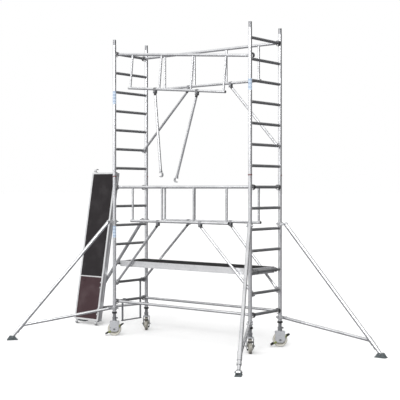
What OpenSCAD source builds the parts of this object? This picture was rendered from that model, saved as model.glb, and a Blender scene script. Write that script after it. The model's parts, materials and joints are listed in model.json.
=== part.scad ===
// Mobile aluminium access tower, partly built: two pairs of end frames on braked castors,
// guard frames with swinging diagonals, a working deck, four stabilisers, and one more
// trapdoor deck that leans on a stabiliser, ready to be lifted in.
// X runs along the tower, Y across it (rear is +Y), Z is up. The floor is Z = 0.

/* [Tower] */
// Distance between the rung axes of the left and the right end frames
bay_length = 2450; // [2200:10:2700]
// Distance between the two post axes of an end frame
frame_width = 700; // [680:5:760]
// Height of the lowest rung's axis above the floor
first_rung_z = 500; // [495:5:520]
// Vertical distance from one rung to the next
rung_pitch = 280; // [275:1:285]
// Distance of the tower's centre behind the centre of the whole footprint
tower_back = 510; // [480:5:540]

/* [Tubes] */
// Outer diameter of the posts
post_d = 51; // [50:0.5:52]
// Wall of the posts
post_wall = 2; // [2:0.1:2.2]
// Outer diameter of the rungs
rung_d = 40; // [38:0.5:42]
// Wall of the rungs, guard tubes and braces
tube_wall = 1.8; // [1.5:0.1:3]
// Outer diameter of a guard frame's top tube
guard_top_d = 42; // [40:0.5:44]
// Outer diameter of a guard frame's bottom tube and of the plan braces
guard_bottom_d = 38; // [36:0.5:40]
// Outer diameter of a guard frame's uprights
guard_upright_d = 32; // [28:0.5:36]
// Outer diameter of the swinging diagonals
diagonal_d = 36; // [32:0.5:37]

/* [Guard frames] */
// Distance from a guard frame's top tube down to its bottom tube
guard_drop = 490; // [450:5:520]
// Tilt of the upper front guard frame, which still rests on the rung below its own
loose_guard_tilt = 5.42; // [5.3:0.02:5.42]
// Lean of its left hanging diagonal from the vertical
left_hang = 5.5; // [2:0.5:8]
// Lean of its right hanging diagonal from the vertical
right_hang = 17.6; // [10:0.2:20]

/* [Decks] */
// Overall width of a deck
deck_width = 530; // [500:5:536]
// Height of a deck's side beam
deck_beam_h = 85; // [75:1:100]
// Length of the trapdoor
hatch_length = 660; // [600:10:760]
// Lean of the spare deck from the vertical
spare_lean = 10; // [9:0.5:11]

/* [Castors] */
// Wheel diameter
wheel_d = 200; // [195:1:205]
// Width of the tyre
tyre_w = 44; // [38:1:50]
// Slope of the brake rocker when the brake is on
pedal_tilt = 30; // [28:1:30]

/* [Stabilisers] */
// Distance from a post to the foot of its stabiliser
stabiliser_reach = 1480; // [1400:10:1550]
// Height of a stabiliser's upper coupler
coupler_z = 1676; // [1674:1:1690]
// Outer diameter of a stabiliser's leg
leg_d = 50; // [48:0.5:52]

/* [Hidden] */
$fn = 48;

gap = 0.3;          // seat clearance between pieces that touch
swivel_gap = 0.4;   // clearance round a piece that turns or slides
weld = 0.2;         // gap left where a tube end is welded on, so that tubes stay separate solids
rungs = 7;          // rungs on one end frame
frame_h = rungs * rung_pitch;
post_bottom = first_rung_z - 150;
joint_z = post_bottom + frame_h;
rung_x = bay_length / 2;
post_y = frame_width / 2;
post_r = post_d / 2;
guard_y = post_y - post_r - 29.5;

// Hooks that sit over a rung
hook_bore = rung_d + 2;
hook_d = 68;
hook_t = 30;
hook_neck = 52;
latch_r = hook_d / 2 + 0.4;
latch_t = 6.5;

// A guard frame seen from the rear: uprights, pivots and the ends of the bottom tube
guard_uprights = [-800, -230, 350, 910];
guard_pivots = [-345, 425];
guard_bottom_ends = [-830, 940];
pivot_drop = 44;
pivot_d = 10;
running = 0.05;     // radial clearance of a running fit

// Height of the rung axes, counted from 1 at the bottom
function rung_z(n) = first_rung_z + rung_pitch * (n - 1);

lower_guard_z = rung_z(7);
upper_guard_z = rung_z(14);
deck_top = rung_z(3) + 40;
deck_half = rung_x - 35;

// Steel parts of a castor
axle_z = wheel_d / 2;
axle_d = 12;
fork_top = axle_z + 112;
cheek_x = 43;
cheek_t = 5;
arm_x = 35;
arm_t = 5;
pedal_reach = 150;
castor_leg_d = post_d - 2 * post_wall - 1;
kingpin_d = 16;

// A stabiliser lies in a vertical plane through its post
leg_top = [84, 0, coupler_z];
foot_pin = [stabiliser_reach, 0, 42];
leg_v = foot_pin - leg_top;
leg_len = norm(leg_v);
leg_u = leg_v / leg_len;
leg_angle = atan2(-leg_v.z, leg_v.x);
strut_z = 400;
strut_at = 0.9 * leg_len;
inner_leg_d = leg_d - 6;

// Where each corner's post stands, how its wheel is turned, and where its stabiliser points
corner_x = [-rung_x, rung_x, -rung_x, rung_x];
corner_y = [-post_y, -post_y, post_y, post_y];
wheel_turn = [-51.35, 218.65, 218.65, -51.35];
stabiliser_turn = [-125, -59.6, 176, 4];

// The spare deck stands on its lower hooks and leans on the rear left stabiliser
spare_x = -2350;
spare_foot_y = 160;
spare_s = sin(spare_lean);
spare_c = cos(spare_lean);
spare_y = spare_foot_y + rung_x * spare_s;
spare_z = hook_d / 2 + rung_x * spare_c + 40 * spare_s;

// ---------------------------------------------------------------- helpers

// Everything is described from the tower's own centre
module tower() {
    translate([0, tower_back, 0]) children();
}

// A straight tube from point a to point b
module tube(a, b, d, wall = tube_wall) {
    v = b - a;
    len = norm(v);
    translate(a)
        rotate([0, acos(v.z / len), atan2(v.y, v.x)])
            difference() {
                cylinder(h = len, d = d);
                translate([0, 0, -1]) cylinder(h = len + 2, d = d - 2 * wall);
            }
}

// A plain ring standing on the XY plane
module ring(d, bore, h) {
    difference() {
        cylinder(h = h, d = d);
        translate([0, 0, -1]) cylinder(h = h + 2, d = bore);
    }
}

// A bar along Y, centred on the origin
module bar_y(d, len) {
    rotate([90, 0, 0]) cylinder(h = len, d = d, center = true);
}

// A bar along X, centred on the origin
module bar_x(d, len) {
    rotate([0, 90, 0]) cylinder(h = len, d = d, center = true);
}

// Outline of a cast hook: the rung sits at the origin, the neck runs to -X,
// and the mouth opens in the direction given
module hook_outline(neck, neck_h, mouth) {
    difference() {
        union() {
            circle(d = hook_d);
            translate([-neck, -neck_h / 2]) square([neck, neck_h]);
        }
        circle(d = hook_bore);
        rotate(mouth) translate([0, -hook_bore / 2]) square([hook_d, hook_bore]);
    }
}

// A cast hook in the XZ plane; turn is the direction that its neck points away from
module hook(turn, mouth, neck = hook_neck, neck_h = 34, t = hook_t) {
    rotate([90, -turn, 0])
        linear_extrude(t, center = true) hook_outline(neck, neck_h, mouth);
}

// The sprung wind latch that closes a hook's mouth, and its thumb tab
module hook_latch(turn, from, span) {
    rotate([90, -turn, 0]) {
        translate([0, 0, -12]) rotate(from)
            rotate_extrude(angle = span) translate([latch_r, 0]) square([latch_t, 24]);
    }
}

// The black cap in the open end of a tube; u points out of the tube
module end_cap(p, u, d) {
    tube(p + 0.1 * u, p + 5 * u, d, d / 2 - 1.5);
}

// ---------------------------------------------------------------- end frames

// One post with the hole that its interlock pin goes through
module post(x, y, z) {
    side = y > 0 ? 1 : -1;
    difference() {
        tube([x, y, z], [x, y, z + frame_h - 1], post_d, post_wall);
        translate([x, y + side * post_r, z + 30]) bar_y(9, 12);
    }
}

// One rung, its ends shaped to sit against the posts
module rung(x, z) {
    difference() {
        tube([x, -post_y + 12, z], [x, post_y - 12, z], rung_d);
        for (y = [-post_y, post_y])
            translate([x, y, z - rung_d]) cylinder(h = 2 * rung_d, d = post_d + 2 * weld);
    }
}

module end_frame(x, first) {
    color("gainsboro") for (y = [-post_y, post_y])
        post(x, y, rung_z(first) - 150);
    color("darkgray") for (n = [first : first + rungs - 1])
        rung(x, rung_z(n));
}

module lower_left_frame() { end_frame(-rung_x, 1); }
module lower_right_frame() { end_frame(rung_x, 1); }
module upper_left_frame() { end_frame(-rung_x, 1 + rungs); }
module upper_right_frame() { end_frame(rung_x, 1 + rungs); }

spigot_d = post_d - 2 * post_wall - 2 * gap;
top_spigot_d = spigot_d - 0.4;
spigot_above = 75;

// The tube inside each post joint, and the bare spigot on top of each post
module frame_spigots() {
    top = joint_z + frame_h;
    color("silver") for (x = [-rung_x, rung_x], y = [-post_y, post_y]) {
        side = y > 0 ? 1 : -1;
        difference() {
            tube([x, y, joint_z - 110], [x, y, joint_z + 110], spigot_d, 3);
            translate([x, y + side * post_r, joint_z + 30]) bar_y(9, 16);
        }
        difference() {
            union() {
                tube([x, y, top - 110], [x, y, top], spigot_d, 3);
                tube([x, y, top - 0.1], [x, y, top + spigot_above], top_spigot_d, 3 - 0.2);
            }
            translate([x, y - spigot_d / 2, top + 35]) bar_y(9, 16);
            translate([x, y, top - 1]) ring(post_d, top_spigot_d - 3, 4);
        }
    }
}

// The pin through each post joint with the spring band that holds it,
// and the sprung button in each top spigot
module interlock_clips() {
    top = joint_z + frame_h;
    color("firebrick") for (x = [-rung_x, rung_x], y = [-post_y, post_y]) {
        side = y > 0 ? 1 : -1;
        translate([x, y, joint_z + 30]) {
            translate([0, side * (post_r - 1), 0]) bar_y(8, 16);
            rotate(side * 90 - 115) translate([0, 0, -7])
                rotate_extrude(angle = 230) translate([post_r + gap, 0]) square([3, 14]);
        }
        translate([x, y - top_spigot_d / 2 + 7.6, top + 35]) bar_y(8, 14);
    }
}

// The collar nuts under the posts, which the adjustable castor legs carry
module adjuster_nuts() {
    color("black") for (x = [-rung_x, rung_x], y = [-post_y, post_y])
        translate([x, y, post_bottom - 26]) ring(66, castor_leg_d + 2 * swivel_gap, 25.5);
}

// Stickers without any lettering on three of the posts
module post_labels() {
    spots = [[rung_x, -post_y, 3450, 150], [-rung_x, -post_y, 3400, 190],
        [-rung_x, -post_y, 1440, 170]];
    color("powderblue") for (s = spots)
        translate([s[0], s[1], s[2]]) rotate(160)
            rotate_extrude(angle = 220) translate([post_r + 0.1, 0]) square([0.5, s[3]]);
}

// ---------------------------------------------------------------- guard frames

// The tubes of one guard frame: its top tube is the X axis and z is measured from it
module guard_tubes() {
    end = rung_x - hook_neck - weld;
    tube([-end, 0, 0], [end, 0, 0], guard_top_d);
    tube([guard_bottom_ends[0], 0, -guard_drop], [guard_bottom_ends[1], 0, -guard_drop],
        guard_bottom_d);
    for (x = guard_uprights)
        difference() {
            tube([x, 0, -guard_drop + 6], [x, 0, -6], guard_upright_d);
            bar_x(guard_top_d + 2 * weld, 2 * rung_x);
            translate([0, 0, -guard_drop]) bar_x(guard_bottom_d + 2 * weld, 2 * rung_x);
        }
}

// The two cast hooks of a guard frame
module guard_hooks() {
    for (s = [-1, 1])
        translate([s * rung_x, 0, 0]) hook(s > 0 ? 0 : 180, s > 0 ? -90 : 90);
}

// The latches of a pair of end hooks; from gives the angle that each latch starts at,
// so that -110 closes the mouth and -30 leaves it open
module guard_latches(left_from = -110, right_from = -110) {
    translate([rung_x, 0, 0]) hook_latch(0, right_from, 150);
    translate([-rung_x, 0, 0]) mirror([1, 0, 0]) hook_latch(0, left_from, 150);
}

// The caps of a guard frame's bottom tube
module guard_caps() {
    end_cap([guard_bottom_ends[0], 0, -guard_drop], [-1, 0, 0], guard_bottom_d);
    end_cap([guard_bottom_ends[1], 0, -guard_drop], [1, 0, 0], guard_bottom_d);
}

// A folded saddle over the bottom tube with two cheeks, and the pivot bolt across them
module pivot_bracket() {
    cheek_y = diagonal_d / 2 + 1;
    for (s = [-1, 1]) difference() {
        translate([-20, s > 0 ? cheek_y : -cheek_y - 4, -pivot_drop - 18])
            cube([40, 4, pivot_drop + 18]);
        bar_x(guard_bottom_d + 2 * gap, 60);
        translate([0, 0, -pivot_drop]) bar_y(pivot_d + 0.4, 80);
    }
    difference() {
        bar_x(guard_bottom_d + 9, 40);
        bar_x(guard_bottom_d + 2 * gap, 60);
        translate([-30, -40, -80]) cube([60, 80, 80]);
    }
    translate([0, 0, -pivot_drop]) {
        bar_y(pivot_d, 2 * cheek_y + 10);
        for (s = [-1, 1]) translate([0, s * (cheek_y + 7.5), 0]) bar_y(18, 6);
    }
}

module guard_brackets() {
    for (x = guard_pivots) translate([x, 0, -guard_drop]) pivot_bracket();
}

// One swinging diagonal, from its pivot at the origin to a hook; length is from the
// pivot to the rung, lean is measured from straight down towards +X, and side is the
// way that the hook's mouth faces
module diagonal(length, lean, side) {
    rotate([0, -lean, 0]) {
        difference() {
            tube([0, 0, 7], [0, 0, -length + hook_neck + weld], diagonal_d);
            bar_y(pivot_d + 2 * running, 80);
        }
        end_cap([0, 0, 7], [0, 0, 0.8], diagonal_d);
        translate([0, 0, -length]) {
            hook(-90, side * 90);
            hook_latch(-90, side > 0 ? -62 : -48, 110);
        }
    }
}

// Places children at a guard frame's own place: the front frames are the rear ones turned round
module at_guard(front, z) {
    rotate(front ? 180 : 0) translate([0, guard_y, z]) children();
}

// The upper front guard frame hangs by its left hook and rests its right hook a rung low
module at_loose_guard() {
    translate([-rung_x, -guard_y, upper_guard_z]) rotate([0, loose_guard_tilt, 0])
        translate([rung_x, 0, 0]) rotate(180) children();
}

module lower_front_guard() { color("whitesmoke") at_guard(true, lower_guard_z) guard_tubes(); }
module lower_rear_guard() { color("whitesmoke") at_guard(false, lower_guard_z) guard_tubes(); }
module upper_rear_guard() { color("whitesmoke") at_guard(false, upper_guard_z) guard_tubes(); }
module upper_front_guard() { color("whitesmoke") at_loose_guard() guard_tubes(); }

module upper_front_guard_fittings() {
    at_loose_guard() {
        color("silver") guard_hooks();
        color("silver") guard_brackets();
        color("black") guard_latches(left_from = -30);
        color("black") guard_caps();
    }
}

// The two braces that keep the tower square, just above the castors
module plan_braces() {
    end = rung_x - hook_neck - weld;
    color("whitesmoke") for (y = [-guard_y, guard_y])
        tube([-end, y, rung_z(1)], [end, y, rung_z(1)], guard_bottom_d);
}

module rung_hooks() {
    color("silver") {
        at_guard(true, lower_guard_z) guard_hooks();
        at_guard(false, lower_guard_z) guard_hooks();
        at_guard(false, upper_guard_z) guard_hooks();
        at_guard(true, rung_z(1)) guard_hooks();
        at_guard(false, rung_z(1)) guard_hooks();
    }
}

module pivot_brackets() {
    color("silver") {
        at_guard(true, lower_guard_z) guard_brackets();
        at_guard(false, lower_guard_z) guard_brackets();
        at_guard(false, upper_guard_z) guard_brackets();
    }
}

module latches_and_caps() {
    color("black") {
        for (y = [-guard_y, guard_y], z = [rung_z(1), lower_guard_z])
            translate([0, y, z]) guard_latches();
        translate([0, guard_y, upper_guard_z]) guard_latches();
        at_guard(true, lower_guard_z) guard_caps();
        at_guard(false, lower_guard_z) guard_caps();
        at_guard(false, upper_guard_z) guard_caps();
    }
}

// A diagonal in place; pivot is its index in guard_pivots, and side the post it goes to
module placed_diagonal(front, guard_z, pivot) {
    px = guard_pivots[pivot];
    side = pivot == 0 ? -1 : 1;
    dx = side * rung_x - px;
    dz = guard_drop + pivot_drop - 5 * rung_pitch;
    at_guard(front, guard_z) translate([px, 0, -guard_drop - pivot_drop])
        diagonal(norm([dx, dz]), atan2(dx, -dz), side);
}

// A hanging diagonal of the tilted guard frame
module hanging_diagonal(pivot, lean) {
    px = guard_pivots[pivot];
    side = pivot == 0 ? -1 : 1;
    length = norm([side * rung_x - px, guard_drop + pivot_drop - 5 * rung_pitch]);
    translate([-rung_x, -guard_y, upper_guard_z]) rotate([0, loose_guard_tilt, 0])
        translate([rung_x - px, 0, -guard_drop - pivot_drop])
            rotate([0, -loose_guard_tilt, 0]) rotate(180) diagonal(length, lean, side);
}

module lower_front_diagonal_left() { color("silver") placed_diagonal(true, lower_guard_z, 1); }
module lower_front_diagonal_right() { color("silver") placed_diagonal(true, lower_guard_z, 0); }
module lower_rear_diagonal_left() { color("silver") placed_diagonal(false, lower_guard_z, 0); }
module lower_rear_diagonal_right() { color("silver") placed_diagonal(false, lower_guard_z, 1); }
module upper_rear_diagonal_left() { color("silver") placed_diagonal(false, upper_guard_z, 0); }
module upper_rear_diagonal_right() { color("silver") placed_diagonal(false, upper_guard_z, 1); }
module upper_front_diagonal_left() { color("silver") hanging_diagonal(1, -left_hang); }
module upper_front_diagonal_right() { color("silver") hanging_diagonal(0, right_hang); }

// ---------------------------------------------------------------- decks

beam_w = 32;
end_beam_t = 25;
board_t = 9.5;
board_top = -1;
cross_t = 25;
hook_y = 215;

// Hollow side beam with a groove along its outer face; its top is z = 0
module side_beam(side) {
    translate([0, side * (deck_width / 2 - beam_w / 2), -deck_beam_h / 2])
        rotate([90, 0, 90]) linear_extrude(2 * deck_half, center = true) difference() {
            square([beam_w, deck_beam_h], center = true);
            square([beam_w - 8, deck_beam_h - 6], center = true);
            translate([side * beam_w / 2, 0]) square([4, 26], center = true);
        }
}

// Beams of a deck whose top is the XY plane and whose hooks are at x = +-rung_x;
// cross gives the places of the cross members under its board
module deck_beams(cross) {
    for (s = [-1, 1]) side_beam(s);
    inner = deck_width - 2 * beam_w - 2 * weld;
    for (s = [-1, 1])
        translate([s * (deck_half - end_beam_t / 2), 0, -deck_beam_h / 2])
            rotate([90, 0, 0]) linear_extrude(inner, center = true) difference() {
                square([end_beam_t, deck_beam_h], center = true);
                square([end_beam_t - 5, deck_beam_h - 5], center = true);
            }
    for (x = cross)
        translate([x, 0, board_top - board_t - gap - cross_t / 2])
            rotate([90, 0, 0]) linear_extrude(inner, center = true) difference() {
                square([40, cross_t], center = true);
                square([36, cross_t - 4], center = true);
            }
}

// The four cast hooks of a deck
module deck_end_hooks() {
    for (s = [-1, 1], y = [-hook_y, hook_y])
        translate([s * rung_x, y, -40])
            hook(s > 0 ? 0 : 180, s > 0 ? -90 : 90, neck = 34.7, neck_h = 50, t = 44);
}

board_half = deck_half - end_beam_t - gap;
board_w = deck_width - 2 * beam_w - 2 * gap;

// A piece of deck board from x = a to x = b
module board(a, b) {
    translate([a, -board_w / 2, board_top - board_t]) cube([b - a, board_w, board_t]);
}

module deck_frame() {
    color("gainsboro") translate([0, 0, deck_top]) deck_beams([-980, -330, 330, 980]);
}
module deck_board() {
    color("dimgray") translate([0, 0, deck_top]) board(-board_half, board_half);
}
module deck_hooks() { color("silver") translate([0, 0, deck_top]) deck_end_hooks(); }

// Places children on the spare deck: its length stands up and leans back, its top faces forward
module at_spare_deck() {
    translate([spare_x, spare_y, spare_z]) rotate([-spare_lean, 0, 0])
        rotate([0, 0, 90]) rotate([0, -90, 0]) children();
}

hatch_end = -board_half + hatch_length;
hatch_bar = 14;
hinge_x = [-board_half + 120, hatch_end - 120];
hinge_y = -board_w / 2 + 6;
hinge_z = 6;
hinge_pin_d = 5;

// Frame of the spare deck, with the bar that the trapdoor shuts against and the fixed
// knuckles and pins of its two hinges
module spare_deck_frame() {
    color("gainsboro") at_spare_deck() {
        deck_beams([-60, 400, 980]);
        deck_end_hooks();
        translate([hatch_end + 1, -board_w / 2 + 0.5, -30])
            cube([hatch_bar, board_w - 1, 30 + board_top]);
        for (x = hinge_x) translate([x, hinge_y, hinge_z]) {
            bar_x(hinge_pin_d, 98);
            for (s = [-1, 1]) translate([s * 40, 0, 0]) {
                bar_x(10, 18);
                translate([-9, -20, -6.6]) cube([18, 20, 11.6]);
            }
        }
    }
}

module spare_deck_board() {
    color("dimgray") at_spare_deck() board(hatch_end + hatch_bar + 2, board_half);
}

// The trapdoor with its two hinge leaves and its latch
module spare_deck_hatch() {
    color("saddlebrown") at_spare_deck() {
        translate([-board_half + 2, -board_w / 2 + 2, board_top - board_t])
            cube([hatch_length - 3, board_w - 4, board_t]);
        for (x = hinge_x) translate([x, hinge_y, hinge_z]) difference() {
            union() {
                bar_x(10, 60);
                translate([-30, 0, -7.2]) cube([60, 50, 3.6]);
            }
            bar_x(hinge_pin_d + 2 * running, 80);
        }
        translate([hatch_end - 60, board_w / 2 - 110, board_top - 0.2]) cube([28, 70, 8]);
    }
}

// ---------------------------------------------------------------- boarding step

// A stirrup on the left end frame: its rear stile hooks over rung 2, its front one over rung 1
module boarding_step() {
    step_x = -rung_x - 38;
    step_z = 194;
    stiles = [[-138, rung_z(1)], [255, rung_z(2)]];
    color("silver") {
        for (s = stiles) {
            tube([step_x, s[0], step_z + 10.2], [step_x, s[0], s[1] - 40.2], 28, 1.8);
            translate([-rung_x, s[0], s[1]]) rotate([90, 0, 0])
                linear_extrude(28, center = true) difference() {
                    union() {
                        circle(d = 62);
                        translate([-52, -40]) square([28, 40]);
                    }
                    circle(d = hook_bore);
                    translate([-hook_bore / 2, -60]) square([hook_bore + 40, 60]);
                }
        }
        tube([step_x, stiles[0][0] - 18, step_z], [step_x, stiles[1][0] + 18, step_z], 20, 1.8);
    }
}

// ---------------------------------------------------------------- castors

// Places children over a corner's floor point, turned as its wheel is
module at_castor(i) {
    translate([corner_x[i], corner_y[i], 0]) rotate(wheel_turn[i]) children();
}

// Adjustable leg: a tube that slides up into the post, on a head that carries the swivel
module castor_leg(i) {
    color("silver") at_castor(i) {
        translate([0, 0, fork_top + 10]) difference() {
            union() {
                cylinder(h = 14, d = 62);
                ring(castor_leg_d, castor_leg_d - 8, 390);
            }
            translate([0, 0, -1]) cylinder(h = 16, d = kingpin_d + 2 * running);
        }
        translate([0, 0, fork_top + 34]) {
            ring(64, castor_leg_d + 2 * gap, 24);
            translate([0, 38, 12]) bar_x(9, 60);
            for (x = [-13, 8]) translate([x, 26, 2]) cube([5, 21.5, 20]);
        }
    }
}

// Pressed fork with its swivel ring, kingpin and axle bolt; the wheel's axle lies along X
module castor_fork(i) {
    cheek = [[-67, fork_top], [67, fork_top], [67, axle_z - 8], [38, axle_z - 38],
        [-38, axle_z - 38], [-67, axle_z - 8]];
    color("lightgray") at_castor(i) {
        for (s = [-1, 1]) translate([s > 0 ? cheek_x : -cheek_x - cheek_t, 0, 0])
            difference() {
                rotate([90, 0, 90]) linear_extrude(cheek_t) polygon(cheek);
                translate([0, 0, axle_z]) bar_x(axle_d + 0.4, 80);
            }
        translate([-cheek_x + weld, -67, fork_top - 6])
            cube([2 * cheek_x - 2 * weld, 134, 6]);
        translate([0, 0, fork_top + weld]) cylinder(h = 9.3, d = 60);
        translate([0, 0, fork_top + 5]) cylinder(h = 27, d = kingpin_d);
        translate([0, 0, axle_z]) {
            bar_x(axle_d, 104);
            for (s = [-1, 1]) translate([s * 53, 0, 0]) bar_x(20, 7);
        }
    }
}

// Cream wheel: a tyre on a ribbed centre
module castor_wheel(i) {
    r = wheel_d / 2;
    w = tyre_w / 2;
    tread = [[r - 24, -w + 3], [r - 8, -w], [r - 2, -w + 5], [r, -w + 12], [r, w - 12],
        [r - 2, w - 5], [r - 8, w], [r - 24, w - 3]];
    centre = [[axle_d / 2 + running, -30], [20, -30], [23, -8], [r - 34, -6], [r - 32, -16],
        [r - 24.3, -16], [r - 24.3, 16], [r - 32, 16], [r - 34, 6], [23, 8], [20, 30],
        [axle_d / 2 + running, 30]];
    color("cornsilk") at_castor(i) translate([0, 0, axle_z]) rotate([0, 90, 0]) {
        rotate_extrude() polygon(tread);
        rotate_extrude() polygon(centre);
    }
}

// Brake rocker: two arms between the wheel and the fork, and a foot pad across each end
module brake_pedal(i) {
    color("olive") at_castor(i) translate([0, 0, axle_z]) rotate([pedal_tilt, 0, 0]) {
        for (s = [-1, 1]) translate([s > 0 ? arm_x : -arm_x - arm_t, 0, 0]) difference() {
            union() {
                translate([0, -pedal_reach + 20, -11]) cube([arm_t, 2 * pedal_reach - 40, 22]);
                translate([arm_t / 2, 0, 0]) bar_x(34, arm_t);
            }
            bar_x(axle_d + 2 * running, 30);
        }
        for (s = [-1, 1]) translate([0, s * (pedal_reach - 10), 0])
            cube([2 * (arm_x + arm_t), 19.6, 16], center = true);
    }
}

module castor_leg_fl() { castor_leg(0); }
module castor_fork_fl() { castor_fork(0); }
module castor_wheel_fl() { castor_wheel(0); }
module brake_pedal_fl() { brake_pedal(0); }
module castor_leg_fr() { castor_leg(1); }
module castor_fork_fr() { castor_fork(1); }
module castor_wheel_fr() { castor_wheel(1); }
module brake_pedal_fr() { brake_pedal(1); }
module castor_leg_rl() { castor_leg(2); }
module castor_fork_rl() { castor_fork(2); }
module castor_wheel_rl() { castor_wheel(2); }
module brake_pedal_rl() { brake_pedal(2); }
module castor_leg_rr() { castor_leg(3); }
module castor_fork_rr() { castor_fork(3); }
module castor_wheel_rr() { castor_wheel(3); }
module brake_pedal_rr() { brake_pedal(3); }

// ---------------------------------------------------------------- stabilisers

// Places children with a corner's post axis at the origin and its stabiliser along +X
module at_stabiliser(i) {
    translate([corner_x[i], corner_y[i], 0]) rotate(stabiliser_turn[i]) children();
}

// A clamp round the post with two lugs that hold a tube end between them
module coupler(z, h, reach, lug_y, pin_x, pin_d) {
    translate([0, 0, z - h / 2]) difference() {
        union() {
            ring(post_d + 19, post_d + 2 * swivel_gap, h);
            for (s = [-1, 1]) translate([14, s > 0 ? lug_y : -lug_y - 5, h / 2 - 17])
                cube([reach - 14, 5, 34]);
            translate([-post_r - 34, -9, h / 2 - 10]) cube([28, 18, 20]);
        }
        translate([pin_x, 0, h / 2]) bar_y(pin_d + 0.4, 100);
    }
}

// A pivot bolt across two lugs, with a head at each end
module lug_bolt(p, d, lug_y, head_d) {
    translate(p) {
        bar_y(d, 2 * lug_y + 14);
        for (s = [-1, 1]) translate([0, s * (lug_y + 9.5), 0]) bar_y(head_d, 8);
    }
}

// Outer leg, lower strut, both post couplers and the telescope's collar
module stabiliser_arm(i) {
    lug_y = leg_d / 2 + 1;
    strut_d = 42;
    strut_lug_y = strut_d / 2 + 1;
    collar_at = leg_len - 110;
    clasp_d = leg_d + 12;
    strut_end = leg_top + strut_at * leg_u;
    strut_start = [66, 0, strut_z];
    strut_pin = [78, 0, strut_z];
    color("whitesmoke") at_stabiliser(i) {
        difference() {
            tube(leg_top - 20 * leg_u, leg_top + collar_at * leg_u, leg_d, 2.5);
            translate(leg_top) bar_y(12.6, 80);
        }
        difference() {
            tube(strut_start, strut_end, strut_d);
            translate(strut_pin) bar_y(10.6, 80);
            translate(strut_end) rotate([0, 90 + leg_angle, 0])
                cylinder(h = 200, d = clasp_d + 2 * weld, center = true);
        }
    }
    color("silver") at_stabiliser(i) {
        coupler(coupler_z, 46, 106, lug_y, leg_top.x, 12);
        lug_bolt(leg_top, 12, lug_y, 24);
        coupler(strut_z, 46, 98, strut_lug_y, strut_pin.x, 10);
        lug_bolt(strut_pin, 10, strut_lug_y, 20);
        translate(strut_end) rotate([0, 90 + leg_angle, 0])
            translate([0, 0, -60]) ring(clasp_d, leg_d + 2 * gap, 120);
        translate(leg_top + (collar_at - 16) * leg_u) rotate([0, 90 + leg_angle, 0])
            ring(leg_d + 10, leg_d + 2 * gap, 32);
    }
}

// Inner leg that telescopes out of the arm, with the eye that its foot hangs from
module stabiliser_leg(i) {
    color("lightgray") at_stabiliser(i) {
        tube(leg_top + (leg_len - 620) * leg_u, foot_pin - 28 * leg_u, inner_leg_d, 2.5);
        translate(foot_pin) difference() {
            union() {
                rotate([0, 90 + leg_angle, 0]) translate([0, 0, -70])
                    cylinder(h = 40, d = inner_leg_d - 5 - 2 * weld);
                rotate([0, 90 + leg_angle, 0]) translate([0, 0, -31]) cylinder(h = 26, d = 30);
                bar_y(38, 50);
            }
            bar_y(12 + 2 * running, 60);
        }
    }
}

// Foot: a long rubber-faced sole with two side walls and the pin through the leg's eye
module stabiliser_foot(i) {
    wall_y = 26;
    wall = [[-70, 0], [70, 0], [34, 50], [-34, 50]];
    color("slategray") at_stabiliser(i) translate([foot_pin.x, 0, 0]) {
        translate([-75, -39, 0]) cube([150, 78, 12]);
        for (s = [-1, 1]) difference() {
            translate([0, s > 0 ? wall_y + 6 : -wall_y, 11])
                rotate([90, 0, 0]) linear_extrude(6) polygon(wall);
            translate([0, 0, foot_pin.z]) bar_y(12.4, 100);
        }
        translate([0, 0, foot_pin.z]) {
            bar_y(12, 2 * wall_y + 14);
            for (s = [-1, 1]) translate([0, s * (wall_y + 9.5), 0]) bar_y(18, 6);
        }
    }
}

module stabiliser_arm_fl() { stabiliser_arm(0); }
module stabiliser_leg_fl() { stabiliser_leg(0); }
module stabiliser_foot_fl() { stabiliser_foot(0); }
module stabiliser_arm_fr() { stabiliser_arm(1); }
module stabiliser_leg_fr() { stabiliser_leg(1); }
module stabiliser_foot_fr() { stabiliser_foot(1); }
module stabiliser_arm_rl() { stabiliser_arm(2); }
module stabiliser_leg_rl() { stabiliser_leg(2); }
module stabiliser_foot_rl() { stabiliser_foot(2); }
module stabiliser_arm_rr() { stabiliser_arm(3); }
module stabiliser_leg_rr() { stabiliser_leg(3); }
module stabiliser_foot_rr() { stabiliser_foot(3); }

// ---------------------------------------------------------------- drawing

tower() lower_left_frame();
tower() lower_right_frame();
tower() upper_left_frame();
tower() upper_right_frame();
tower() frame_spigots();
tower() interlock_clips();
tower() adjuster_nuts();
tower() plan_braces();
tower() lower_front_guard();
tower() lower_rear_guard();
tower() upper_rear_guard();
tower() rung_hooks();
tower() pivot_brackets();
tower() latches_and_caps();
tower() deck_frame();
tower() deck_board();
tower() deck_hooks();
tower() boarding_step();
tower() post_labels();
tower() upper_front_guard();
tower() upper_front_guard_fittings();
tower() lower_front_diagonal_left();
tower() lower_front_diagonal_right();
tower() lower_rear_diagonal_left();
tower() lower_rear_diagonal_right();
tower() upper_rear_diagonal_left();
tower() upper_rear_diagonal_right();
tower() upper_front_diagonal_left();
tower() upper_front_diagonal_right();
tower() castor_leg_fl();
tower() castor_fork_fl();
tower() castor_wheel_fl();
tower() brake_pedal_fl();
tower() castor_leg_fr();
tower() castor_fork_fr();
tower() castor_wheel_fr();
tower() brake_pedal_fr();
tower() castor_leg_rl();
tower() castor_fork_rl();
tower() castor_wheel_rl();
tower() brake_pedal_rl();
tower() castor_leg_rr();
tower() castor_fork_rr();
tower() castor_wheel_rr();
tower() brake_pedal_rr();
tower() stabiliser_arm_fl();
tower() stabiliser_leg_fl();
tower() stabiliser_foot_fl();
tower() stabiliser_arm_fr();
tower() stabiliser_leg_fr();
tower() stabiliser_foot_fr();
tower() stabiliser_arm_rl();
tower() stabiliser_leg_rl();
tower() stabiliser_foot_rl();
tower() stabiliser_arm_rr();
tower() stabiliser_leg_rr();
tower() stabiliser_foot_rr();
tower() spare_deck_frame();
tower() spare_deck_board();
tower() spare_deck_hatch();
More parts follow.
